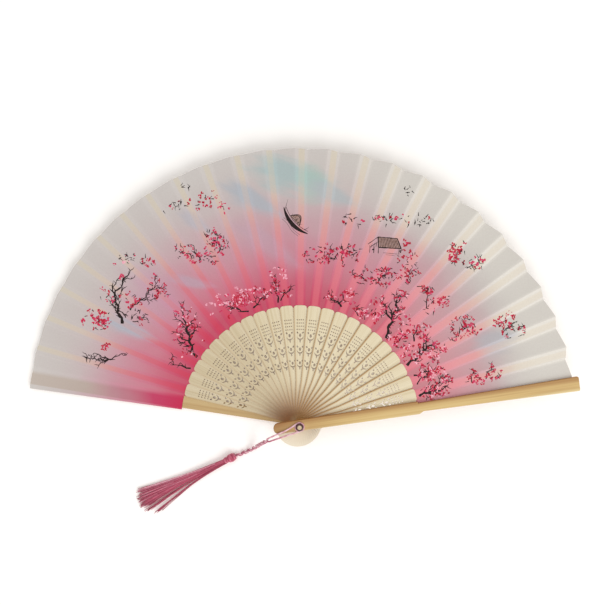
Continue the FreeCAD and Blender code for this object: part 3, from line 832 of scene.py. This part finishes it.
# washes of colour on the cloth: centre, half width, half height, lean in degrees, colour, strength
CLOUD_WASHES = [
    (-34, 154, 25, 9, -30, "a9b1ba", 0.85),
    (-7, 170, 31, 13, -14, "a3b9ba", 0.85),
    (8, 165, 11, 15, 4, "a6c2b8", 0.65),
    (20, 157, 19, 9, -25, "adb8bc", 0.8),
    (-72, 138, 15, 6, -35, "b2b0b9", 0.7),
    (-75, 97, 17, 5, -12, "b39fb0", 0.6),
    (-24, 124, 32, 10, -35, "b99dae", 0.45),
    (-120, 66, 22, 7, -25, "a9b0bb", 0.8),
    (-98, 88, 30, 18, -40, "c090a8", 0.45),
    (134, 57, 18, 11, 10, "b1b4bc", 0.7),
    (60, 104, 22, 9, 10, "c48497", 0.4),
]


def wash_mask(n, centred, centre, half_sizes, lean, strength):
    """Where a wash lies: an ellipse whose edge is ragged, drawn out along its lean."""
    local = n.mapped(centred, location=(-centre[0], -centre[1], 0))
    turned = n.mapped(local, rotation=(0, 0, -radians(lean)))
    shaped = n.mapped(turned, scale=(1 / half_sizes[0], 1 / half_sizes[1], 0))
    reach = n.node("ShaderNodeVectorMath", {0: shaped}, operation="LENGTH").outputs["Value"]
    drawn_out = n.noise(n.mapped(turned, scale=(0.35, 1.6, 1.0)), 0.06, 4.0)
    ragged = n.plus(reach, n.times(n.minus(drawn_out, 0.5), 1.7))
    return n.spread(ragged, 0.35, 1.15, strength, 0.0)


def slips_show(n, radius, angle):
    """How strongly the slips show through the cloth: narrower and weaker on the left."""
    turns = n.math("FRACT", n.math("DIVIDE", n.minus(BACK_ANGLE, angle), PITCH))
    to_stick = n.times(n.math("MINIMUM", turns, n.minus(1.0, turns)), PITCH)
    past_slip = n.minus(n.times(to_stick, radius), n.spread(angle, 1.0, 2.4, 2.3, 1.9))
    shows = n.times(n.spread(angle, 1.1, 2.3, 0.85, 0.66), n.spread(past_slip, -0.7, 0.5, 1.0, 0.0))
    return n.times(n.attribute("slip"), shows)


def printed_cloth():
    """Thin cloth dyed from crimson at the ribs to pale grey, the slips showing through it."""
    n = Nodes("printed_cloth", 0.78)
    middle = (-UV_SPAN / 2, -UV_SPAN / 2, 0)
    centred = n.mapped(n.uv(), location=middle, scale=(UV_SPAN, UV_SPAN, 1))
    x, y, _ = n.axes(centred)
    radius, angle = n.length(x, y), n.math("ARCTAN2", y, x)
    cloudy = n.times(n.minus(n.noise(centred, 0.022, 3.0), 0.5), 0.26)
    fade = n.plus(n.spread(radius, LEAF_INNER, LEAF_OUTER, kind="LINEAR"), cloudy)
    fade = n.plus(fade, n.spread(angle, 0.25, 1.2, 0.08, -0.02))
    face, over_slip, over_guard = (n.ramp(fade, dye) for dye in (FACE_DYE, SLIP_DYE, GUARD_DYE))
    inner = n.spread(fade, 0.35, 0.75, 1.0, 0.0)
    outer_right = n.times(n.spread(angle, 0.9, 1.7, 1.0, 0.0), n.spread(fade, 0.5, 0.95))
    over_slip = n.blend(n.times(n.spread(angle, 0.5, 2.5, 0.42, 0.0), inner), over_slip, "f0aeb4")
    over_slip = n.blend(outer_right, over_slip, "dcd4c6")
    face = n.blend(n.times(n.spread(angle, 0.4, 1.6, 0.32, 0.0), inner), face, "e6a8a8")
    face = n.blend(outer_right, face, "d9d5cd")
    for cx, cy, wide, tall, lean, code, strength in CLOUD_WASHES:
        mask = wash_mask(n, centred, (cx, cy), (wide, tall), lean, strength)
        face = n.blend(mask, face, code)
        over_slip = n.blend(n.times(mask, 0.6), over_slip, code)
    # painted shade on the pleats' rising faces, stronger on the right
    pleat_shade = n.times(n.attribute("pleat"), n.spread(angle, 0.5, 1.7, 0.22, 0.10))
    face = n.blend(pleat_shade, face, "a09a96")
    colour = n.blend(slips_show(n, radius, angle), face, over_slip)
    colour = n.blend(n.attribute("guard"), colour, over_guard)
    streaks = n.spread(n.noise(centred, 0.9, 4.0), 0.3, 0.7, 0.07, 0.0)
    n.shade({
        "Base Color": n.blend(streaks, colour, "8e6f74"),
        "Sheen Weight": 0.15,
        "Sheen Roughness": 0.5,
        "Specular IOR Level": 0.3,
    })
    weave = {"Vector": centred, "Scale": 1.6}
    warp, weft = (n.node("ShaderNodeTexWave", weave, bands_direction=way).outputs["Fac"]
                  for way in "XY")
    n.bump(n.plus(warp, weft), 0.12, 0.00005)
    return n.material


def printing_ink(name, pale, dark, strength=1.0):
    """Printing ink that soaked a little unevenly into the cloth, weaker on the cloth's back."""
    n = Nodes(name, 0.7)
    colour = n.ramp(n.noise(n.uv(), 260.0, 3.0), [(0.35, dark), (0.65, pale)])
    n.shade({
        "Base Color": n.blend(strength, srgb("cdb9b6"), colour),
        "Specular IOR Level": 0.3,
    })
    return n.material


def thread(name, stops):
    """Twisted rayon: each strand has its own tone, with a silky sheen."""
    n = Nodes(name, 0.45)
    grain = n.noise(n.place(), 900.0, 2.0)
    tone = n.math("MULTIPLY_ADD", grain, 0.3, n.times(n.attribute("tone"), 0.75))
    n.shade({"Base Color": n.ramp(tone, stops), "Sheen Weight": 0.4, "Sheen Roughness": 0.35})
    n.bump(grain, 0.2, 0.0001)
    return n.material


def speckled(name, stops, roughness, scale, extra):
    """A plain solid surface with fine uneven tone, and extra settings for its shader."""
    n = Nodes(name, roughness)
    grain = n.noise(n.place(), scale, 4.0)
    n.shade({"Base Color": n.ramp(grain, stops), **extra})
    n.bump(grain, 0.1, 0.0001)
    return n.material


def bone_with_shadow_ring():
    """The pin's cap: a pale bone centre inside a dark rim, painted shadow where the cord's turn meets
    the cap.
    """
    n = Nodes("cap_bone", 0.35)
    place = n.place()
    x, y, _ = n.axes(place)
    grain = n.noise(place, 900.0, 4.0)
    centre = n.ramp(grain, [(0.3, "b8a07c"), (0.7, "d3c09c")])
    # painted shadow: the dark ring round the bone centre, where the cord's turn meets the cap
    rim = n.ramp(grain, [(0.3, "32191a"), (0.7, "5c2f30")])
    n.shade({"Base Color": n.blend(n.spread(n.length(x, y), 0.0013, 0.0016), centre, rim)})
    n.bump(grain, 0.15, 0.0001)
    return n.material


# -------- the leaf
def panel_grid(gap):
    """Corners and four-sided faces, seen from above, of a gap's cloth."""
    start = stick_angle(gap - 1)
    rows, corners = 44, []
    for row in range(rows + 1):
        share = row / rows
        columns = gap_columns(gap, mix(LEAF_INNER, LEAF_OUTER, share))
        for part in columns:
            radius = mix(inner_radius(gap, part), edge_radius(gap, part), share)
            corners.append(Vector((radius * cos(start - part), radius * sin(start - part))))
    width = len(columns)
    cells = [
        (a, a + 1, a + width + 1, a + width)
        for row in range(rows) for a in range(row * width, row * width + width - 1)
    ]
    return corners, cells


def cut_along_print(corners, cells, marks):
    """The cloth in triangles with no edge across a mark: places, triangles and their paints."""
    corners, faces = list(corners), list(cells)
    for outline, _ in marks:
        first = len(corners)
        corners += [Vector(point) for point in outline]
        faces.append(tuple(range(first, len(corners))))
    flat, _, triangles, _, _, origins = delaunay_2d_cdt(corners, [], faces, 0, 1e-5)
    kept, paints = [], []
    for triangle, origin in zip(triangles, origins):
        if any(i < len(cells) for i in origin):
            mark = max(origin) - len(cells)
            kept.append(tuple(triangle))
            paints.append(marks[mark][1] if mark >= 0 else 0)
    used = sorted({i for face in kept for i in face})
    renumbered = {old: new for new, old in enumerate(used)}
    kept = [tuple(renumbered[i] for i in face) for face in kept]
    return [flat[i] for i in used], kept, paints


def panel_masks(gap, part, radius):
    """How much of the cloth at a place is over a slip, on a pleat and over the back guard."""
    valley, mountain = folds(gap, radius)
    near = min(abs(part), abs(PITCH - part) if gap < LAST else PITCH) * radius
    on_slip = smooth((slip_half(radius) + 0.15 - near) / 0.3)
    on_pleat = smooth((part - valley) * radius / 0.8) * smooth((mountain - part) * radius / 0.8)
    on_guard = smooth((part * radius + 4.5) / 0.5) * smooth((4.8 - part * radius) / 0.8)
    return {
        "slip": 0.0 if gap == 1 and part < PITCH / 2 else on_slip,
        "pleat": on_pleat,
        "guard": on_guard if gap == 1 else 0.0,
    }


def make_panel(gap, materials, marks):
    """The cloth between two slips' centre lines, a closed thin shell cut along the print's outlines."""
    flat, top_faces, paints = cut_along_print(*panel_grid(gap), marks)
    start = stick_angle(gap - 1)
    top, masks = [], []
    for x, y in flat:
        radius, part = hypot(x, y), start - atan2(y, x)
        top.append((x, y, cloth_height(gap, part, radius)))
        masks.append(panel_masks(gap, part, radius))
    count = len(top)
    vertices = top + [(x, y, z - CLOTH_THICK) for x, y, z in top]
    under = [tuple(count + i for i in reversed(face)) for face in top_faces]
    edges = {edge for face in top_faces for edge in zip(face, face[1:] + face[:1])}
    outer_edges = sorted(edge for edge in edges if edge[::-1] not in edges)
    rim = [(b, a, count + a, count + b) for a, b in outer_edges]
    seen_through = [paint + PAINTS if paint else 0 for paint in paints]
    panel = new_object(f"leaf_cloth_{gap:02d}", vertices, top_faces + under + rim, materials,
                       paints + seen_through + [0] * len(rim))
    smooth_faces = [True] * (2 * len(top_faces)) + [False] * len(rim)
    panel.data.polygons.foreach_set("use_smooth", smooth_faces)
    panel.data.set_sharp_from_angle(angle=radians(50))
    layer = panel.data.uv_layers.new(name="leaf")
    for loop in panel.data.loops:
        x, y, _ = vertices[loop.vertex_index]
        layer.data[loop.index].uv = (x / UV_SPAN + 0.5, y / UV_SPAN + 0.5)
    for name in masks[0]:
        add_values(panel, name, [mask[name] for mask in masks] * 2)
    return panel


# name, pale colour and dark colour of each paint
INKS = [
    ("ink", "24100e", "120706"), ("red_blossom", "c41436", "980e2a"),
    ("rose_blossom", "d63a64", "b82a50"), ("blush_blossom", "efb4c0", "de8fa4"),
    ("grey_ink", "5b4f52", "3a3134"), ("thin_wash", "ab8c86", "937268"),
]


def make_leaf():
    """All the panels, each lying between its two sticks."""
    materials = [printed_cloth()] + [printing_ink(*ink) for ink in INKS]
    materials += [printing_ink(f"{name}_behind", pale, dark, 0.45) for name, pale, dark in INKS]
    marks = paint_leaf()
    fold_radius, fold_half_width = 135.0, 5.5
    for gap in range(1, LAST + 1):
        panel = make_panel(gap, materials, marks[gap])
        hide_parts(f"leaf_{gap:02d}")
        middle = stick_angle(gap - 0.5)
        centre = Vector((*polar(degrees(middle), fold_radius), 0))
        across = Vector((-sin(middle), cos(middle), 0)) * fold_half_width
        mm(centre + across)
        mm(centre - across)
        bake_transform(panel)


# -------- the tassel
STRAND_ROUTES = [
    [
        (-1.7, 2.4, 20.8), (-8.0, -2.0, 20.85), (-14.6, -4.7, 20.9), (-20.8, -7.5, 20.9),
        (-25.7, -11.4, 14.4), (-28.8, -15.0, 6.6), (-33.2, -18.7, 1.7), (-39.4, -21.8, 0.75),
        (-45.8, -23.9, 2.3),
    ],
    [
        (1.5, -2.5, 20.8), (-6.2, -5.0, 20.85), (-13.2, -7.4, 20.9), (-19.9, -9.6, 20.9),
        (-25.1, -13.4, 14.4), (-28.4, -16.9, 6.6), (-32.8, -20.4, 1.7), (-39.0, -23.4, 0.75),
        (-45.3, -25.5, 2.3),
    ],
]

# along the cord from the pin: where the strands begin to meet, over how far, and the twist's start
MEET, MEET_OVER, TWIST = 22, 6, 23
TWIST_PITCH = 4.2
TWIST_REACH = CORD_RADIUS * 1.3
YARN_TURNS_PER_MM = 0.45
CORD_SIDES = 10


def route_points(route):
    """Points along the smooth NURBS line whose control points are the route."""
    data = bpy.data.curves.new("route", "CURVE")
    data.dimensions = "3D"
    spline = data.splines.new("NURBS")
    spline.points.add(len(route) - 1)
    for point, corner in zip(spline.points, route):
        point.co = (*mm(corner), 1.0)
    spline.order_u = 3
    spline.use_endpoint_u = True
    spline.resolution_u = 14
    holder = in_scene("route", data)
    bpy.context.view_layer.update()
    mesh = bpy.data.meshes.new_from_object(holder)
    points = [v.co / MM for v in mesh.vertices]
    bpy.data.objects.remove(holder)
    return points


def twisted(points, others):
    """One strand of a pair: its own line at first, then a helix round the line between the two.
    Returns the strand's points and those of the line that it winds round."""
    made, axis, travelled = [], [], 0.0
    for i, (own, other) in enumerate(zip(points, others)):
        middle = (own + other) / 2
        if i:
            travelled += (points[i] - points[i - 1]).length
        tangent = (points[min(i + 1, len(points) - 1)] - points[max(i - 1, 0)]).normalized()
        side = (own - other).normalized()
        side = (side - tangent * side.dot(tangent)).normalized()
        lift = tangent.cross(side)
        join = smooth((travelled - MEET) / MEET_OVER)
        turn = max(travelled - TWIST, 0) * tau / TWIST_PITCH
        helix = middle + (side * cos(turn) + lift * sin(turn)) * TWIST_REACH
        helix.z = max(helix.z, TWIST_REACH)
        made.append(own.lerp(helix, join))
        axis.append(own.lerp(middle, join))
    return made, axis


def ply(share, angle):
    """Outline of a cord laid up from two yarns."""
    return CORD_RADIUS * (0.92 + 0.12 * cos(2 * angle))


def swelling_ply(share, angle):
    """The same cord, fuller where the two strands are laid round each other."""
    fullness, swells_at, swells_over = 1.25, 0.35, 0.1
    return ply(share, angle) * mix(1.0, fullness, smooth((share - swells_at) / swells_over))


def ride_on_tassel(obj, node):
    """Let a piece of the tassel move with the back guard, which the pin is fixed to."""
    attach(obj, stick_body(0))
    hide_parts(node)
    return obj


def make_strands(material):
    """The two strands of the cord, from the pin to the knot, one darker than the other."""
    first, second = (route_points(route) for route in STRAND_ROUTES)
    pair = []
    for place, own, other, end_tone in (
        ("upper", first, second, 0.55), ("lower", second, first, 0.05)
    ):
        winding, path = twisted(own, other)
        vertices, faces = tube(winding, swelling_ply, CORD_SIDES, YARN_TURNS_PER_MM)
        strand = new_object(f"tassel_cord_{place}", vertices, faces, [material])
        count = len(vertices)
        add_values(strand, "tone", [
            mix(0.75, end_tone, smooth(2 * i / count)) + 0.15 * sin(i * 0.7)
            for i in range(count)
        ])
        pair.append((ride_on_tassel(strand, f"tassel_strand_{place}"), path))
    return pair


def make_turn(material):
    """The cord's turn round the pin's neck."""
    low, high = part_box("tassel_ring")
    height = (low.z + high.z) / 2 / MM
    radius, steps, yarn_turns = 2.9, 60, 3
    angles = [i * tau / steps for i in range(steps)]
    points = [Vector((radius * cos(a), radius * sin(a), height)) for a in angles]
    vertices, faces = tube(points, ply, CORD_SIDES, yarn_turns / (tau * radius), closed=True)
    turn = new_object("tassel_turn", vertices, faces, [material])
    add_values(turn, "tone", [0.6] * len(vertices))
    return ride_on_tassel(turn, "tassel_ring")


SKIRT_ANGLE = radians(205.0)
KNOT_START = Vector((-45.0, -24.3, 0))
KNOT_LENGTH = 7.6
KNOT_HEIGHT = 2.75

# windings of the knot: turns, slant, start and end along the knot, radius of the cord
WINDINGS = [(5, 0.9, 0.2, 4.6, 0.5), (5, -0.9, 0.3, 4.5, 0.5), (6, 0.0, 4.6, 7.6, 0.3)]


def skirt_place(along, across, height):
    """A place on the tassel by its distance from the knot's start, its offset and its height."""
    forward = Vector((cos(SKIRT_ANGLE), sin(SKIRT_ANGLE), 0))
    side = Vector((-forward.y, forward.x, 0))
    return KNOT_START + forward * along + side * across + Vector((0, 0, height))


def bulge(share):
    """Radius of the knot's core: a round head, then an even collar."""
    head_end, narrow, broad, collar = 0.65, 1.6, 2.5, 1.9
    if share >= head_end:
        return collar
    return mix(narrow, broad, sin(pi * min(share * 1.45, 1.0)) ** 0.7)


def make_knot(material):
    """The knot: cord wound round a bulging core, and a narrow binding under it."""
    parts = []
    for turns, slant, start, end, thick in WINDINGS:
        steps = turns * 24
        path = []
        for i in range(steps):
            share = i / (steps - 1)
            along = mix(start, end, share)
            angle = share * turns * tau
            reach = bulge(along / KNOT_LENGTH)
            path.append(skirt_place(along + slant * sin(angle), reach * cos(angle),
                                    KNOT_HEIGHT + reach * sin(angle)))
        parts.append(tube(path, lambda share, angle: thick, 7))
    core = [skirt_place(mix(-0.3, 8.0, i / 14), 0, KNOT_HEIGHT) for i in range(15)]
    parts.append(tube(core, lambda share, angle: bulge(share) * mix(0.5, 1, min(share * 9, 1)), 18))
    vertices, faces = merged(parts)
    knot = new_object("tassel_wound_knot", vertices, faces, [material])
    add_values(knot, "tone", [0.45 + 0.35 * sin(i * 0.05) for i in range(len(vertices))])
    return ride_on_tassel(knot, "tassel_knot")


# bundles of threads: share of the threads, where the bundle ends across, its half width, its length
BUNDLES = [
    (0.28, -4.2, 3.0, 64.5), (0.48, 2.2, 3.4, 66.0), (0.12, 5.2, 1.5, 65.0),
    (0.07, 9.2, 0.8, 64.0), (0.05, 13.2, 0.4, 59.0),
]


def thread_path(rnd, end, half, reach):
    """The line of one thread, from inside the knot's collar to its loose end on the table."""
    first, lowest, steps = 7.0, 0.32, 18
    angle, off = rnd.uniform(0, tau), sqrt(rnd.random())
    root = mix(off * cos(angle) * 1.7, end * 0.22, 0.5)
    root_height = 2.5 + off * sin(angle) * 1.5
    spread = end + rnd.uniform(-half, half)
    settle = 0.35 + (root_height - 1.0) / 3.0 * 1.5
    length = reach + rnd.gauss(0, 1.5)
    wave, phase = rnd.uniform(0.1, 0.5), rnd.uniform(0, tau)
    path = []
    for j in range(steps):
        share = j / (steps - 1)
        across = mix(root, spread, share ** 1.5) + wave * share * sin(phase + share * 6)
        height = mix(root_height, settle, smooth(share * 1.7)) + 0.1 * sin(phase + share * 5)
        path.append(skirt_place(first + share * length, across, max(height, lowest)))
    return path


def make_skirt(material):
    """The skirt: bundles of loose threads that leave the knot together and spread on the table."""
    seed, threads, thick, thin_end, sides = 5, 190, 0.26, 0.65, 5
    rnd = random.Random(seed)
    parts, tones = [], []
    for share_of, end, half, reach in BUNDLES:
        for _ in range(round(threads * share_of)):
            path = thread_path(rnd, end, half, reach)
            parts.append(tube(path, lambda share, angle: thick * mix(1.0, thin_end, share), sides))
            tones += [rnd.random() ** 1.3] * len(parts[-1][0])
    skirt = new_object("tassel_threads", *merged(parts), [material])
    add_values(skirt, "tone", tones)
    return ride_on_tassel(skirt, "tassel_skirt")


def make_tassel():
    """The whole tassel, with its two strands."""
    skirt_thread = thread("rose_thread", [(0.08, "902a46"), (0.42, "b44460"), (0.74, "ca6c84"),
                                          (0.97, "e8c0cc")])
    cord_thread = thread("pale_rose_cord", [(0.10, "a04a62"), (0.45, "c98295"), (0.85, "ecc9d0")])
    turn = make_turn(cord_thread)
    knot = make_knot(skirt_thread)
    make_skirt(skirt_thread)
    for (strand, path), route in zip(make_strands(cord_thread), STRAND_ROUTES):
        tuple(mm(route[0]))
        [mm(p) for p in path]


# -------- sticks and pin
# plain, dark and pale bamboo: of the ribs, each from the left to the right, and of the two guards
RIB_TONES = [("c9ba9b", "dacdae"), ("b8a682", "cab994"), ("d4c8ad", "e2d8be")]
BACK_GUARD_TONES = ("bc9e6c", "a58250", "c8b283")
FRONT_GUARD_TONES = ("ccad70", "b49056", "d6bf8a")
# painted shade towards the pin on the guards
GUARD_PIVOT_SHADE = 0.25


def dress(node, material):
    """Give a CAD node its material."""
    mesh = frame["nodes"][node].data
    mesh.materials.clear()
    mesh.materials.append(material)


def dress_sticks():
    """Bamboo on the sticks, metal on the pin and bone on its cap."""
    for number in range(1, RIBS + 1):
        to_right = smooth((number - 5) / 8)
        tones = [between(*codes, to_right) for codes in RIB_TONES]
        # painted shade near the pin, stronger on the left, and painted shadow beside the rib above,
        # stronger on the right
        pivot_shading, edge_shadow = mix(0.95, 0.6, number / RIBS), mix(0.25, 0.95, smooth((number - 6) / 12))
        material = bamboo(f"rib_bamboo_{number:02d}", stick_angle(number), tones, pivot_shading,
                          edge_shadow=edge_shadow)
        dress(stick_node(number), material)
    # the front guard gets painted shade and a painted highlight on its edges and head
    for number, tones, guard_shading in ((0, BACK_GUARD_TONES, 0.0), (LAST, FRONT_GUARD_TONES, 0.75)):
        dress(stick_node(number), bamboo(f"guard_bamboo_{number:02d}", stick_angle(number),
                                         tones, GUARD_PIVOT_SHADE, guard_shading=guard_shading))
    brass = [(0.3, "8c7440"), (0.7, "c2a768")]
    dress("pivot_pin", speckled("pin_metal", brass, 0.35, 300.0, {"Metallic": 1.0}))
    dress("pin_cap", bone_with_shadow_ring())


# -------- floor, light, camera
def make_stage():
    """A plain pale floor just under the fan, that glows faintly so that shadows stay soft and warm."""
    half, below = 3000, 0.3
    corners = [(-half, -half, 0), (half, -half, 0), (half, half, 0), (-half, half, 0)]
    glow = {"Emission Color": (1.0, 0.82, 0.66, 1.0), "Emission Strength": 0.11}
    white = speckled("floor_white", [(0.3, "f6f6f6"), (0.7, "f9f9f9")], 0.9, 3.0, glow)
    floor = new_object("floor", corners, [(0, 1, 2, 3)], [white])
    floor.location.z = -below * MM


def make_light(name, place, target, size, power, colour):
    """A square lamp at a place, facing a target."""
    data = bpy.data.lights.new(name, "AREA")
    data.size = size
    data.energy = power
    data.color = colour
    light = in_scene(name, data)
    light.location = place
    light.rotation_euler = (Vector(target) - Vector(place)).to_track_quat("-Z", "Y").to_euler()


def make_world(strength):
    """Even light from all round."""
    world = bpy.data.worlds.new("studio")
    world.use_nodes = True
    background = world.node_tree.nodes["Background"]
    background.inputs["Color"].default_value = (1.0, 0.99, 0.975, 1)
    background.inputs["Strength"].default_value = strength
    bpy.context.scene.world = world


def make_camera():
    """A camera almost straight above the open fan, 650 mm up."""
    data = bpy.data.cameras.new("camera")
    data.lens = 56.0
    data.sensor_width = 36.0
    camera = in_scene("camera", data)
    place, target = mm((-7.2, 135.2, 650.0)), mm((2.3, 83.1, 0.0))
    look = (target - place).normalized()
    right = look.cross(Vector((0, 1, 0))).normalized()
    up = right.cross(look)
    turn = Matrix((right, up, -look)).transposed()
    camera.matrix_world = Matrix.Translation(place) @ turn.to_4x4()
    bpy.context.scene.camera = camera


make_camera()
make_tassel()
make_leaf()
dress_sticks()
make_stage()
make_world(0.72)
FAN_MIDDLE = (0.0, 0.08, 0.0)
make_light("key", (0.62, -0.72, 0.95), FAN_MIDDLE, 1.1, 10.0, (1.0, 0.985, 0.965))
make_light("fill", (-0.5, 0.6, 1.1), FAN_MIDDLE, 1.0, 2.0, (1, 1, 1))
bpy.context.scene.view_settings.view_transform = "Standard"
